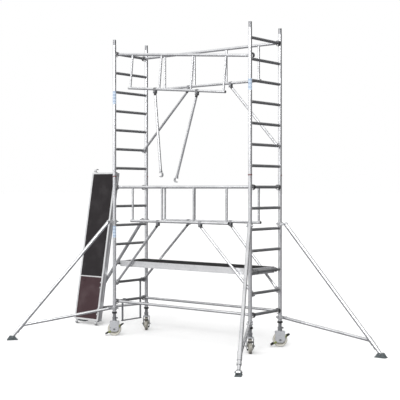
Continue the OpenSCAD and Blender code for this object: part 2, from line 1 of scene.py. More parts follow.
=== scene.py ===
# %% [markdown]
# # A mobile aluminium access tower
# The tower comes packed as a fixed frame of separate CAD pieces, already in place and in
# metres. This lesson gives every piece its finish, and adds the small fittings that a
# fabricator would see up close: weld beads, ribbed rungs, rivets, screws, knurled nuts,
# wheel ribs and pads. First we load the frame and note how much room it takes.

# %% Load the frame
import json
import math

import bmesh
import bpy
from mathutils import Matrix, Vector

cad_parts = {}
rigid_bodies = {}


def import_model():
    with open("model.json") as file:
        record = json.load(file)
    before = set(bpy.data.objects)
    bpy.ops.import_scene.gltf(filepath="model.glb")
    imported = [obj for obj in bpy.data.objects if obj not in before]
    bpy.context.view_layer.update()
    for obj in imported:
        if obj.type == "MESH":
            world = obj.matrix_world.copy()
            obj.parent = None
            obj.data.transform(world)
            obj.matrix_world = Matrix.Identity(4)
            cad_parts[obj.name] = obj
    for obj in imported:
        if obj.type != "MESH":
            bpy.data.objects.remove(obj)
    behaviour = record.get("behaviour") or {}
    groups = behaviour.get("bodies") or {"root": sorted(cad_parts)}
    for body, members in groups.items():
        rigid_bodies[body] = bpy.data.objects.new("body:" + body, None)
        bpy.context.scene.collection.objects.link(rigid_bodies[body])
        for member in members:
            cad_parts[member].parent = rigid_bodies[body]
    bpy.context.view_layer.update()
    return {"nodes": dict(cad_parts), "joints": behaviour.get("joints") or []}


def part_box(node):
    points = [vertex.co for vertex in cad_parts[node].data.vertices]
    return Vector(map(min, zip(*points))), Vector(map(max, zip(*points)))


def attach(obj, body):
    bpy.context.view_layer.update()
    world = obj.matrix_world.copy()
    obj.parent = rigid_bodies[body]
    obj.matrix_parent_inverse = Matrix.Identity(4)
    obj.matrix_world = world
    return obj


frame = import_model()
nodes = frame["nodes"]
joints = {joint["name"]: joint for joint in frame["joints"]}

# %% Places that the fittings share, worked out from the frame
CORNERS = ("fl", "fr", "rl", "rr")
axle = {c: Vector(joints[f"castor_wheel_{c}_spin"]["pos_m"]) for c in CORNERS}
tower_x = abs(axle["fl"].x)
tower_y = (axle["fl"].y + axle["rl"].y) / 2
post_y = (axle["rl"].y - axle["fl"].y) / 2
rung_pitch = 0.28
first_rung = 0.5
rung_count = 14
deck_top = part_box("deck_frame")[1].z
deck_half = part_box("deck_frame")[1].x
deck_half_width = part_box("deck_frame")[1].y - tower_y
print("post lines at x", tower_x, "y", tower_y - post_y, tower_y + post_y)

# %% [markdown]
# ## A short way to write a material
# Every finish here is a small tree of nodes. Writing out each link hides the idea, so one
# helper makes a node, sets its options and its inputs, and links any socket it is given.
# All patterns read Object coordinates: the pieces sit at the origin with their place in
# their mesh, so a pattern has its real size everywhere and never slides.

# %% Helpers for shader trees
def node(tree, kind, options=None, **inputs):
    made = tree.nodes.new(kind)
    for name, value in (options or {}).items():
        setattr(made, name, value)
    for name, value in inputs.items():
        key = int(name[1:]) if name[0] == "i" and name[1:].isdigit() else name.replace("_", " ")
        socket = made.inputs[key]
        if isinstance(value, bpy.types.NodeSocket):
            tree.links.new(value, socket)
        else:
            socket.default_value = value
    return made


def maths(tree, operation, a, b=0.0, c=0.0):
    made = node(tree, "ShaderNodeMath", {"operation": operation}, i0=a, i1=b, i2=c)
    return made.outputs[0]


def noise(tree, where, scale, detail=3.0, stretch=(1, 1, 1)):
    spread = node(tree, "ShaderNodeMapping", Vector=where, Scale=stretch)
    made = node(tree, "ShaderNodeTexNoise", Vector=spread.outputs[0], Scale=scale, Detail=detail)
    return made.outputs[0]


def band(tree, value, low, high, out_low=0.0, out_high=1.0):
    made = node(tree, "ShaderNodeMapRange", {"interpolation_type": "SMOOTHSTEP"}, Value=value,
                From_Min=low, From_Max=high, To_Min=out_low, To_Max=out_high)
    return made.outputs[0]


def blend_colour(tree, share, first, second):
    made = node(tree, "ShaderNodeMix", {"data_type": "RGBA"})
    for index, value in ((0, share), (6, first), (7, second)):
        if isinstance(value, bpy.types.NodeSocket):
            tree.links.new(value, made.inputs[index])
        else:
            made.inputs[index].default_value = value if index == 0 else (*value, 1)
    return made.outputs[2]


def relief(tree, height, distance, strength=1.0):
    made = node(tree, "ShaderNodeBump", Strength=strength, Distance=distance, Height=height)
    return made.outputs[0]


# %% [markdown]
# A new material starts from a Principled shader and the three object coordinates. The
# finish then says only what is its own: a colour, a roughness and a relief.

# %% Start and finish a material
def start(name, metallic=0.0, specular=0.5):
    material = bpy.data.materials.new(name)
    material.use_nodes = True
    tree = material.node_tree
    shader = tree.nodes["Principled BSDF"]
    shader.inputs["Metallic"].default_value = metallic
    shader.inputs["Specular IOR Level"].default_value = specular
    where = node(tree, "ShaderNodeTexCoord").outputs["Object"]
    xyz = node(tree, "ShaderNodeSeparateXYZ", Vector=where).outputs
    return material, tree, shader, where, xyz


def dress(tree, shader, colour, roughness, normal):
    for socket, value in (("Base Color", colour), ("Roughness", roughness), ("Normal", normal)):
        if isinstance(value, bpy.types.NodeSocket):
            tree.links.new(value, shader.inputs[socket])
        elif value is not None:
            shader.inputs[socket].default_value = value


def corner_offsets(tree, x, y):
    """How far a point is from its corner post's line, along the tower and across it."""
    dx = maths(tree, "SUBTRACT", maths(tree, "ABSOLUTE", x), tower_x)
    dy = maths(tree, "SUBTRACT", maths(tree, "ABSOLUTE", maths(tree, "SUBTRACT", y, tower_y)), post_y)
    return dx, dy


# %% [markdown]
# ## Drawn aluminium tube
# Tube for towers is extruded, so it has faint lines along its length, a bright skin, and
# the dull handling marks of years of hire. A tube can lie along any direction, so two
# sizes of cloudy noise stand for the skin, and a third, stretched along one axis, gives
# the drawing lines.

# %% Tube finishes
def tube_metal(name, bright, dull, lines=(1, 1, 0.02), rough=(0.24, 0.42)):
    material, tree, shader, where, xyz = start(name, metallic=0.78)
    cloud = noise(tree, where, 7.0, 4.0)
    drawn = noise(tree, where, 420.0, 2.0, lines)
    scuff = band(tree, noise(tree, where, 55.0, 6.0), 0.56, 0.68)
    worn = maths(tree, "MULTIPLY", band(tree, cloud, 0.35, 0.7), 0.55)
    skin = blend_colour(tree, worn, bright, dull)
    colour = blend_colour(tree, maths(tree, "MULTIPLY", scuff, 0.35), skin,
                          tuple(0.62 * v for v in dull))
    roughness = band(tree, maths(tree, "ADD", maths(tree, "MULTIPLY", drawn, 0.6),
                                 maths(tree, "MULTIPLY", scuff, 0.4)), 0.2, 0.8, *rough)
    dress(tree, shader, colour, roughness, relief(tree, drawn, 0.00025, 0.35))
    return material


along_x = tube_metal("guard_tube_metal", (0.76, 0.765, 0.78), (0.54, 0.545, 0.56), (0.02, 1, 1))
any_way = tube_metal("brace_tube_metal", (0.72, 0.725, 0.74), (0.48, 0.485, 0.50), (1, 1, 1))
print("tube finishes", along_x.name, any_way.name)

# %% [markdown]
# ## End frames: plain posts and ribbed rungs
# A rung is a ribbed extrusion, so that a boot doesn't slip. The ribs follow the rung's own
# round, so the pattern needs the angle about the nearest rung. It comes from arithmetic:
# the height is folded into one rung pitch, the side is folded onto one frame, and
# arctangent turns the two offsets into an angle. The grooves get painted shade: a far
# darker grey than the rib tops.

# %% Posts and rungs in one material
def ladder_metal():
    material, tree, shader, where, (x, y, z) = start("end_frame_metal", metallic=0.78)
    across = maths(tree, "ABSOLUTE", maths(tree, "SUBTRACT", y, tower_y))
    is_rung = maths(tree, "LESS_THAN", across, post_y - 0.0262)
    side = maths(tree, "SUBTRACT", maths(tree, "ABSOLUTE", x), tower_x)
    lifted = maths(tree, "ADD", z, rung_pitch / 2 - first_rung)
    height = maths(tree, "SUBTRACT", maths(tree, "FLOORED_MODULO", lifted, rung_pitch), rung_pitch / 2)
    angle = maths(tree, "ARCTAN2", height, side)
    rib = maths(tree, "SINE", maths(tree, "MULTIPLY", angle, 28.0))
    groove_relief_and_painted_shade = band(tree, rib, -0.9, 0.2)
    drawn = noise(tree, where, 420.0, 2.0, (1, 1, 0.02))
    cloud = band(tree, noise(tree, where, 6.0, 4.0), 0.35, 0.7)
    scuff = band(tree, noise(tree, where, 48.0, 6.0), 0.57, 0.7)
    post = blend_colour(tree, maths(tree, "MULTIPLY", cloud, 0.5), (0.80, 0.805, 0.825),
                        (0.60, 0.605, 0.625))
    # Painted shade: the rib grooves are coloured far darker than the rib tops.
    tread = blend_colour(tree, groove_relief_and_painted_shade, (0.14, 0.142, 0.148), (0.42, 0.424, 0.435))
    metal = blend_colour(tree, is_rung, post, tread)
    heat = band(tree, across, post_y - 0.06, post_y - 0.028)
    near = maths(tree, "MULTIPLY", maths(tree, "MULTIPLY", heat, is_rung), 0.35)
    warm = blend_colour(tree, near, metal, (0.40, 0.38, 0.35))
    colour = blend_colour(tree, maths(tree, "MULTIPLY", scuff, 0.3), warm, (0.42, 0.42, 0.43))
    coarser = maths(tree, "ADD", drawn, maths(tree, "MULTIPLY", is_rung, 0.35))
    roughness = band(tree, coarser, 0.2, 1.3, 0.22, 0.55)
    bumps = maths(tree, "ADD", maths(tree, "MULTIPLY", maths(tree, "MULTIPLY", groove_relief_and_painted_shade, is_rung), 1.0),
                  maths(tree, "MULTIPLY", drawn, 0.12))
    dress(tree, shader, colour, roughness, relief(tree, bumps, 0.0008, 0.8))
    return material


end_frame_metal = ladder_metal()
print("end frame finish made for", rung_count, "rungs")

# %% [markdown]
# ## Castings, zinc and painted steel
# Hooks are sand-cast: dull, grainy, with darker hollows. Castor legs are zinc plated, and
# plating shows as a fine mosaic of spangles. Forks are painted light grey and chip to
# darker steel at the marks that kicks leave.

# %% Cast, plated and painted metals
def cast_metal(name, light, dark):
    material, tree, shader, where, xyz = start(name, metallic=0.6)
    grain = noise(tree, where, 900.0, 3.0)
    cloud = noise(tree, where, 35.0, 5.0)
    colour = blend_colour(tree, band(tree, cloud, 0.35, 0.68), light, dark)
    dress(tree, shader, colour, band(tree, grain, 0.3, 0.7, 0.42, 0.66), relief(tree, grain, 0.0006, 0.5))
    return material


def plated_metal(name, light, dark):
    material, tree, shader, where, xyz = start(name, metallic=0.85)
    cell = node(tree, "ShaderNodeTexVoronoi", Vector=where, Scale=190.0).outputs["Color"]
    tone = node(tree, "ShaderNodeSeparateColor", Color=cell).outputs[0]
    colour = blend_colour(tree, tone, light, dark)
    dress(tree, shader, colour, band(tree, tone, 0, 1, 0.28, 0.46), relief(tree, tone, 0.0001, 0.3))
    return material


def painted(name, paint, chip, rough=0.42, metallic=0.0, chips=(0.66, 0.72)):
    material, tree, shader, where, xyz = start(name, metallic=metallic)
    chipped = band(tree, noise(tree, where, 70.0, 6.0), *chips)
    dust = maths(tree, "MULTIPLY", band(tree, noise(tree, where, 12.0, 4.0), 0.4, 0.75), 0.3)
    skin = blend_colour(tree, dust, paint, tuple(0.5 * v + 0.18 for v in paint))
    orange_peel = noise(tree, where, 600.0, 1.0)
    depth = maths(tree, "SUBTRACT", maths(tree, "MULTIPLY", orange_peel, 0.25), chipped)
    dress(tree, shader, blend_colour(tree, chipped, skin, chip),
          band(tree, chipped, 0, 1, rough, rough + 0.2), relief(tree, depth, 0.0004, 0.5))
    return material


hook_casting = cast_metal("hook_casting", (0.30, 0.30, 0.31), (0.12, 0.12, 0.125))
coupler_steel = plated_metal("plated_steel", (0.46, 0.465, 0.48), (0.22, 0.225, 0.24))
fork_paint = painted("fork_paint", (0.50, 0.51, 0.53), (0.16, 0.15, 0.14), chips=(0.62, 0.7))
clip_paint = painted("clip_paint", (0.16, 0.03, 0.025), (0.05, 0.04, 0.04))
black_nylon = painted("black_nylon", (0.012, 0.012, 0.013), (0.07, 0.07, 0.07), rough=0.38, chips=(0.7, 0.8))
weld_metal = cast_metal("weld_metal", (0.44, 0.44, 0.45), (0.22, 0.21, 0.20))
print("cast, plated and painted finishes made")

# %% [markdown]
# ## Brake rockers that darken towards their tips
# The rocker is painted yellow-green, and its pads are worn black with shoe rubber. How far
# a point is from the post's line, level with the floor, says how near it is to a tip.

# %% Rocker paint
def rocker_paint():
    material, tree, shader, where, (x, y, z) = start("rocker_paint", metallic=0.1)
    dx, dy = corner_offsets(tree, x, y)
    reach = maths(tree, "SQRT", maths(tree, "ADD", maths(tree, "MULTIPLY", dx, dx),
                                      maths(tree, "MULTIPLY", dy, dy)))
    tip = band(tree, reach, 0.075, 0.108)
    chipped = band(tree, noise(tree, where, 80.0, 6.0), 0.6, 0.68)
    paint = blend_colour(tree, chipped, (0.30, 0.34, 0.10), (0.14, 0.12, 0.09))
    colour = blend_colour(tree, tip, paint, (0.016, 0.015, 0.014))
    dress(tree, shader, colour, band(tree, chipped, 0, 1, 0.4, 0.65), relief(tree, chipped, 0.0004, -0.4))
    return material


rocker = rocker_paint()
print("rocker paint made")

# %% [markdown]
# ## Rubber and polyurethane
# Castor tyres are cream polyurethane. Their tread picks up floor dirt, while the flanks
# stay clean: distance from the axle, measured level with the wheel, is close enough to
# the radius to put the dirt where it belongs. Foot pads are dark grey rubber.

# %% Tyre and pad finishes
def tyre_material():
    material, tree, shader, where, (x, y, z) = start("tyre_polyurethane", specular=0.4)
    dx, dy = corner_offsets(tree, x, y)
    dz = maths(tree, "SUBTRACT", z, axle["fl"].z)
    squares = [maths(tree, "MULTIPLY", d, d) for d in (dx, dy, dz)]
    radius = maths(tree, "SQRT", maths(tree, "ADD", maths(tree, "ADD", squares[0], squares[1]), squares[2]))
    cloud = noise(tree, where, 60.0, 6.0)
    tread = maths(tree, "MULTIPLY", band(tree, radius, 0.0965, 0.1), band(tree, cloud, 0.3, 0.6))
    colour = blend_colour(tree, maths(tree, "MULTIPLY", tread, 0.6), (0.69, 0.67, 0.60), (0.20, 0.18, 0.15))
    stain = maths(tree, "MULTIPLY", band(tree, cloud, 0.5, 0.8), 0.4)
    stained = blend_colour(tree, stain, colour, (0.40, 0.37, 0.30))
    dress(tree, shader, stained, band(tree, cloud, 0.3, 0.7, 0.4, 0.62),
          relief(tree, noise(tree, where, 500.0, 2.0), 0.0003, 0.4))
    return material


tyre = tyre_material()
foot_rubber = painted("foot_rubber", (0.10, 0.12, 0.125), (0.22, 0.24, 0.25), rough=0.62, chips=(0.55, 0.75))
print("rubber finishes made")

# %% [markdown]
# ## Phenolic-faced plywood
# A deck's board is plywood with a dark resin face, pressed against wire mesh so that it
# grips. The mesh leaves a lattice of tiny pits: two sine waves at right angles make it, and
# the pits are painted darker as shade. Boots polish the middle and grind pale dust into
# the face.

# %% Deck faces
def phenolic(name, face, dust, along, across, share):
    material, tree, shader, where, xyz = start(name, specular=0.05)
    u, v = (node(tree, "ShaderNodeVectorMath", {"operation": "DOT_PRODUCT"}, i0=where, i1=d).outputs[1]
            for d in (along, across))
    waves = [maths(tree, "SINE", maths(tree, "MULTIPLY", d, 2 * math.pi / 0.0065)) for d in (u, v)]
    mesh = maths(tree, "MULTIPLY", waves[0], waves[1])
    cloud = noise(tree, where, 5.0, 6.0)
    scratch = band(tree, noise(tree, where, 30.0, 8.0, (1, 6, 1)), 0.6, 0.72)
    dusty = maths(tree, "MULTIPLY", band(tree, cloud, 0.42, 0.75), share)
    # Painted shade: the mesh pits are coloured darker than the face around them.
    pits_with_painted_shade = blend_colour(tree, band(tree, mesh, -0.5, 0.8), tuple(0.6 * c for c in face), face)
    colour = blend_colour(tree, maths(tree, "ADD", dusty, maths(tree, "MULTIPLY", scratch, 0.12)), pits_with_painted_shade, dust)
    dress(tree, shader, colour, band(tree, cloud, 0.3, 0.7, 0.60, 0.80), relief(tree, mesh, 0.0004, 0.6))
    return material


spare_up = Vector(joints["spare_deck_hatch_swing"]["axis"])
across_x = Vector((1, 0, 0))
deck_face = phenolic("deck_face", (0.014, 0.013, 0.014), (0.07, 0.066, 0.066), (1, 0, 0), (0, 1, 0), 0.3)
spare_face = phenolic("spare_deck_face", (0.040, 0.036, 0.038), (0.085, 0.08, 0.082), spare_up, across_x, 0.25)
hatch_face = phenolic("hatch_face", (0.088, 0.055, 0.060), (0.15, 0.115, 0.12), spare_up, across_x, 0.3)
print("deck faces made")

# %% [markdown]
# ## Deck beams and labels
# The beams are extruded too, but flat faces catch the light in one piece, so they are
# brighter and smoother than the tubes. A label is a film with a few plain bars on it and
# no lettering.

# %% Beam and label finishes
def label_film():
    material, tree, shader, where, (x, y, z) = start("label_film", specular=0.5)
    fold = maths(tree, "FLOORED_MODULO", z, 0.047)
    bar = maths(tree, "LESS_THAN", fold, 0.019)
    facing = maths(tree, "LESS_THAN", maths(tree, "ABSOLUTE", maths(tree, "SUBTRACT", fold, 0.0095)), 0.006)
    marks = maths(tree, "MULTIPLY", bar, maths(tree, "SUBTRACT", 1.0, maths(tree, "MULTIPLY", facing, 0.5)))
    colour = blend_colour(tree, marks, (0.60, 0.71, 0.84), (0.27, 0.37, 0.54))
    scuff = band(tree, noise(tree, where, 90.0, 5.0), 0.55, 0.7)
    dress(tree, shader, blend_colour(tree, maths(tree, "MULTIPLY", scuff, 0.4), colour, (0.8, 0.82, 0.84)),
          band(tree, scuff, 0, 1, 0.3, 0.55), relief(tree, scuff, 0.0002, 0.3))
    return material


beam_metal = tube_metal("deck_beam_metal", (0.90, 0.903, 0.91), (0.80, 0.805, 0.82), (0.02, 1, 1), (0.34, 0.46))
spare_beam_metal = tube_metal("spare_beam_metal", (0.80, 0.803, 0.81), (0.62, 0.625, 0.64), (1, 1, 0.02),
                              (0.32, 0.45))
label = label_film()
print("beam and label finishes made")

# %% [markdown]
# ## Put the finishes on the frame
# Each CAD node keeps its mesh and its place. Only its material slots change, picked by
# what the node's name says it is.

# %% Dress every CAD node
FINISHES = [
    ("lower_left_frame", end_frame_metal), ("lower_right_frame", end_frame_metal),
    ("upper_left_frame", end_frame_metal), ("upper_right_frame", end_frame_metal),
    ("frame_spigots", coupler_steel), ("interlock_clips", clip_paint),
    ("adjuster_nuts", black_nylon), ("latches_and_caps", black_nylon),
    ("upper_front_guard_fittings", hook_casting), ("rung_hooks", hook_casting),
    ("pivot_brackets", coupler_steel), ("plan_braces", along_x),
    ("spare_deck_frame", spare_beam_metal), ("spare_deck_board", spare_face),
    ("spare_deck_hatch", hatch_face), ("deck_frame", beam_metal), ("deck_board", deck_face),
    ("deck_hooks", hook_casting), ("boarding_step", coupler_steel), ("post_labels", label),
    ("castor_leg", coupler_steel),
    ("castor_fork", fork_paint), ("castor_wheel", tyre), ("brake_pedal", rocker),
    ("stabiliser_foot", foot_rubber), ("stabiliser", any_way), ("_guard", along_x),
    ("_diagonal_", any_way),
]


def finish_for(name):
    return next(material for part, material in FINISHES if part in name)


for name, piece in nodes.items():
    piece.data.materials.clear()
    piece.data.materials.append(finish_for(name))
print("dressed", len(nodes), "nodes")

# %% [markdown]
# ## Fittings that repeat: one tree of Geometry Nodes for each kind
# A tower has fifty-six rung welds and rows of rivets, screws and ribs. Modelling one and
# copying it by hand hides the rule, so each kind gets a tree with named inputs. A small
# helper starts a tree, and another one runs it on an empty carrier and keeps the result
# as a plain mesh.

# %% Helpers for geometry trees
KINDS = {"float": "NodeSocketFloat", "int": "NodeSocketInt", "vector": "NodeSocketVector",
         "material": "NodeSocketMaterial"}


def start_tree(name, **inputs):
    tree = bpy.data.node_groups.new(name, "GeometryNodeTree")
    for label, kind in inputs.items():
        tree.interface.new_socket(name=label.replace("_", " "), in_out="INPUT", socket_type=KINDS[kind])
    tree.interface.new_socket(name="Geometry", in_out="OUTPUT", socket_type="NodeSocketGeometry")
    return tree, node(tree, "NodeGroupInput").outputs


def end_tree(tree, shape, material, rounded):
    shaded = node(tree, "GeometryNodeSetShadeSmooth", Geometry=shape, Shade_Smooth=rounded)
    real = node(tree, "GeometryNodeRealizeInstances", Geometry=shaded.outputs[0])
    finished = node(tree, "GeometryNodeSetMaterial", Geometry=real.outputs[0], Material=material)
    node(tree, "NodeGroupOutput", Geometry=finished.outputs[0])


def grow(name, tree, place=Matrix.Identity(4), **settings):
    carrier = bpy.data.objects.new(name + "_carrier", bpy.data.meshes.new(name + "_empty"))
    bpy.context.scene.collection.objects.link(carrier)
    modifier = carrier.modifiers.new("grow", "NODES")
    modifier.node_group = tree
    for item in tree.interface.items_tree:
        key = item.name.replace(" ", "_")
        if key in settings:
            modifier[item.identifier] = settings[key]
    view = bpy.context.evaluated_depsgraph_get()
    mesh = bpy.data.meshes.new_from_object(carrier.evaluated_get(view))
    bpy.data.objects.remove(carrier)
    mesh.transform(place)
    made = bpy.data.objects.new(name, mesh)
    bpy.context.scene.collection.objects.link(made)
    return made


def gather(name, pieces):
    """Joins finished pieces that ride on one body into one mesh."""
    whole = bmesh.new()
    for piece in pieces:
        whole.from_mesh(piece.data)
    mesh = bpy.data.meshes.new(name)
    for material in pieces[0].data.materials:
        mesh.materials.append(material)
    whole.to_mesh(mesh)
    whole.free()
    for piece in pieces:
        bpy.data.objects.remove(piece)
    made = bpy.data.objects.new(name, mesh)
    bpy.context.scene.collection.objects.link(made)
    return made


# %% [markdown]
# ## Weld beads round the rungs
# Where a round rung meets a round post, the weld follows a saddle: at each point of the
# rung's circle, the bead sits on the post's own circle. Set Position bends a flat circle
# onto that saddle, Curve to Mesh gives it its thickness, and a line of points carries it
# up the post, one rung pitch at a time.

# %% Weld bead tree
def weld_tree():
    tree, given = start_tree("weld_beads", Rung_Radius="float", Post_Radius="float", Bead="float",
                             Pitch="float", First="float", Count="int", Metal="material")
    circle = node(tree, "GeometryNodeCurvePrimitiveCircle", Resolution=24, Radius=given["Rung Radius"])
    here = node(tree, "ShaderNodeSeparateXYZ", Vector=node(tree, "GeometryNodeInputPosition").outputs[0])
    post_square = maths(tree, "MULTIPLY", given["Post Radius"], given["Post Radius"])
    x_square = maths(tree, "MULTIPLY", here.outputs[0], here.outputs[0])
    out = maths(tree, "SQRT", maths(tree, "SUBTRACT", post_square, x_square))
    saddle = node(tree, "ShaderNodeCombineXYZ", X=here.outputs[0], Y=out, Z=here.outputs[1])
    bent = node(tree, "GeometryNodeSetPosition", Geometry=circle.outputs[0], Position=saddle.outputs[0])
    profile = node(tree, "GeometryNodeCurvePrimitiveCircle", Resolution=6, Radius=given["Bead"])
    bead = node(tree, "GeometryNodeCurveToMesh", Curve=bent.outputs[0], Profile_Curve=profile.outputs[0])
    foot = node(tree, "ShaderNodeCombineXYZ", Z=given["First"])
    step = node(tree, "ShaderNodeCombineXYZ", Z=given["Pitch"])
    ladder = node(tree, "GeometryNodeMeshLine", Count=given["Count"], Start_Location=foot.outputs[0],
                  Offset=step.outputs[0])
    copies = node(tree, "GeometryNodeInstanceOnPoints", Points=ladder.outputs[0], Instance=bead.outputs[0])
    end_tree(tree, copies.outputs[0], given["Metal"], rounded=True)
    return tree


weld_beads = weld_tree()
beads = []
for side in (-1, 1):
    for facing in (1, -1):
        spin = Matrix.Rotation(0 if facing > 0 else math.pi, 4, "Z")
        place = Matrix.Translation((side * tower_x, tower_y - facing * post_y, 0)) @ spin
        beads.append(grow("beads", weld_beads, place, Rung_Radius=0.0203, Post_Radius=0.0262, Bead=0.0019,
                          Pitch=rung_pitch, First=first_rung, Count=rung_count, Metal=weld_metal))
rung_welds = gather("rung_welds", beads)
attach(rung_welds, "tower")
print("weld beads:", len(rung_welds.data.polygons), "faces")

# %% [markdown]
# ## Rows of rivets, screws, fins and grooves
# A row needs a start, a step and a count. The thing repeated is either a low dome, for a
# rivet or a screw, or a small block, for a fin, so two trees share one plan.

# %% Trees for rows
def row_tree(name, domed):
    tree, given = start_tree(name, Start="vector", Step="vector", Count="int", Size="vector", Metal="material")
    if domed:
        unit = node(tree, "GeometryNodeMeshUVSphere", Segments=12, Rings=6, Radius=0.5)
    else:
        unit = node(tree, "GeometryNodeMeshCube", Size=(1, 1, 1))
    line = node(tree, "GeometryNodeMeshLine", Count=given["Count"], Start_Location=given["Start"],
                Offset=given["Step"])
    copies = node(tree, "GeometryNodeInstanceOnPoints", Points=line.outputs[0], Instance=unit.outputs[0],
                  Scale=given["Size"])
    end_tree(tree, copies.outputs[0], given["Metal"], rounded=domed)
    return tree


dome_row = row_tree("row_of_domes", True)
block_row = row_tree("row_of_blocks", False)


def row(tree, place, start_at, step, count, size, metal):
    return grow("row", tree, place, Start=start_at, Step=step, Count=count, Size=size, Metal=metal)


# %% [markdown]
# Both decks are built from the same parts, so their rivets and screws are described once,
# from the middle of the deck's top: X along it, Y across it and Z out of it. A matrix then
# carries them to the deck in use, or to the spare one, which leans back.

# %% Deck hardware
TILT = joints["spare_deck_tilt"]
deck_out = Vector((0, -spare_up.z, spare_up.y))
beam_top = 0.040
spare_centre = Vector(TILT["pos_m"]) + tower_x * spare_up + beam_top * deck_out
spare_place = Matrix.Translation(spare_centre) @ Matrix(
    (spare_up, -across_x, deck_out)).transposed().to_4x4()
deck_place = Matrix.Translation((0, tower_y, deck_top))


def deck_rivets(place, metal, beam_depth=0.085, head=0.009):
    made = []
    for side in (-1, 1):
        y = side * (deck_half_width - 0.0006)
        for end in (-1, 1):
            for z in (0.014, beam_depth - 0.014):
                made.append(row(dome_row, place, (end * (deck_half - 0.02), y, -z), (-end * 0.035, 0, 0), 2,
                                (head, 0.005, head), metal))
    return made


def board_screws(place, metal, first, last):
    made = []
    count = round((last - first) / 0.245) + 1
    for y in (-deck_half_width + 0.047, deck_half_width - 0.047):
        made.append(row(dome_row, place, (first, y, -0.0008), ((last - first) / (count - 1), 0, 0), count,
                        (0.0095, 0.0095, 0.0022), metal))
    return made


def end_fins(place, metal, ends):
    made = []
    for end in ends:
        made.append(row(block_row, place, (end * (deck_half + 0.0008), 0, -0.013), (0, 0, -0.0098), 7,
                        (0.003, 2 * deck_half_width - 0.075, 0.0036), metal))
    return made


deck_hardware = gather("deck_hardware", deck_rivets(deck_place, coupler_steel)
                       + board_screws(deck_place, coupler_steel, -1.13, 1.13))
deck_fins = gather("deck_end_fins", end_fins(deck_place, beam_metal, (-1, 1)))
hatch_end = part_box("spare_deck_hatch")[1]
hatch_top = (hatch_end - spare_centre).dot(spare_up)
spare_hardware = gather("spare_deck_hardware", deck_rivets(spare_place, coupler_steel)
                        + board_screws(spare_place, coupler_steel, hatch_top + 0.05, 1.13))
spare_fins = gather("spare_deck_end_fins", end_fins(spare_place, spare_beam_metal, (-1, 1)))
for piece, body in ((deck_hardware, "tower"), (deck_fins, "tower"),
                    (spare_hardware, "spare_deck"), (spare_fins, "spare_deck")):
    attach(piece, body)
    print(piece.name, len(piece.data.polygons), "faces")

# %% [markdown]
# ## Rings of ribs
# Wheels have ribs between hub and rim, and collar nuts have grips round them. Both are
# blocks on a circle, each turned to look away from its middle. The points of a mesh
# circle carry the blocks, and Align Rotation to Vector turns them. Feet have rubber nubs
# in two straight rows, one along each edge of the sole, so they use the row of blocks.

# %% Ring tree
def ring_tree():
    tree, given = start_tree("ring_of_ribs", Radius="float", Count="int", Size="vector", Metal="material")
    circle = node(tree, "GeometryNodeMeshCircle", Vertices=given["Count"], Radius=given["Radius"])
    outward = node(tree, "FunctionNodeAlignRotationToVector", {"axis": "X"},
                   Vector=node(tree, "GeometryNodeInputPosition").outputs[0])
    block = node(tree, "GeometryNodeMeshCube", Size=(1, 1, 1))
    copies = node(tree, "GeometryNodeInstanceOnPoints", Points=circle.outputs[0], Instance=block.outputs[0],
                  Rotation=outward.outputs[0], Scale=given["Size"])
    end_tree(tree, copies.outputs[0], given["Metal"], rounded=False)
    return tree


ring_of_ribs = ring_tree()


def ring(place, radius, count, size, metal):
    return grow("ring", ring_of_ribs, place, Radius=radius, Count=count, Size=size, Metal=metal)


def along(direction, origin):
    """A place whose Z runs along a direction."""
    return Matrix.Translation(origin) @ Vector(direction).to_track_quat("Z", "Y").to_matrix().to_4x4()


RIB_FROM_MIDDLE = 0.0095
GRIP_FROM_NUT_LOW = 0.0128
nut_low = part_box("adjuster_nuts")[0].z
grips = []
for c in CORNERS:
    centre = Vector((axle[c].x, axle[c].y, nut_low + GRIP_FROM_NUT_LOW))
    grips.append(ring(Matrix.Translation(centre), 0.0335, 12, (0.006, 0.009, 0.0225), black_nylon))
nut_grips = gather("collar_nut_grips", grips)
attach(nut_grips, "tower")

for c in CORNERS:
    spin_axis = Vector(joints[f"castor_wheel_{c}_spin"]["axis"])
    ribs = [ring(along(spin_axis, axle[c] + side * RIB_FROM_MIDDLE * spin_axis), 0.0435, 10,
                 (0.042, 0.0045, 0.008), tyre) for side in (-1, 1)]
    wheel_ribs = gather(f"wheel_ribs_{c}", ribs)
    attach(wheel_ribs, f"castor_wheel_{c}")
    sole = Vector(joints[f"stabiliser_foot_{c}_tilt"]["pos_m"])
    sideways = Vector(joints[f"stabiliser_foot_{c}_tilt"]["axis"])
    lengthways = Vector((sideways.y, -sideways.x, 0))
    turned = Matrix((lengthways, sideways, Vector((0, 0, 1)))).transposed().to_4x4()
    under = Matrix.Translation((sole.x, sole.y, 0)) @ turned
    nubs = gather(f"foot_nubs_{c}", [row(block_row, under, (-0.064, edge * 0.039, 0.006), (0.016, 0, 0), 9,
                                         (0.009, 0.003, 0.008), foot_rubber) for edge in (-1, 1)])
    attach(nubs, f"stabiliser_foot_{c}")

# %% [markdown]
# ## Bolt heads and washers
# Pivot bolts show a hexagon on a washer at each side. One head is a few dozen faces with a
# small chamfer, made once and copied to each bolt's end. The frame's own joints say where
# the bolts are and which way they run.

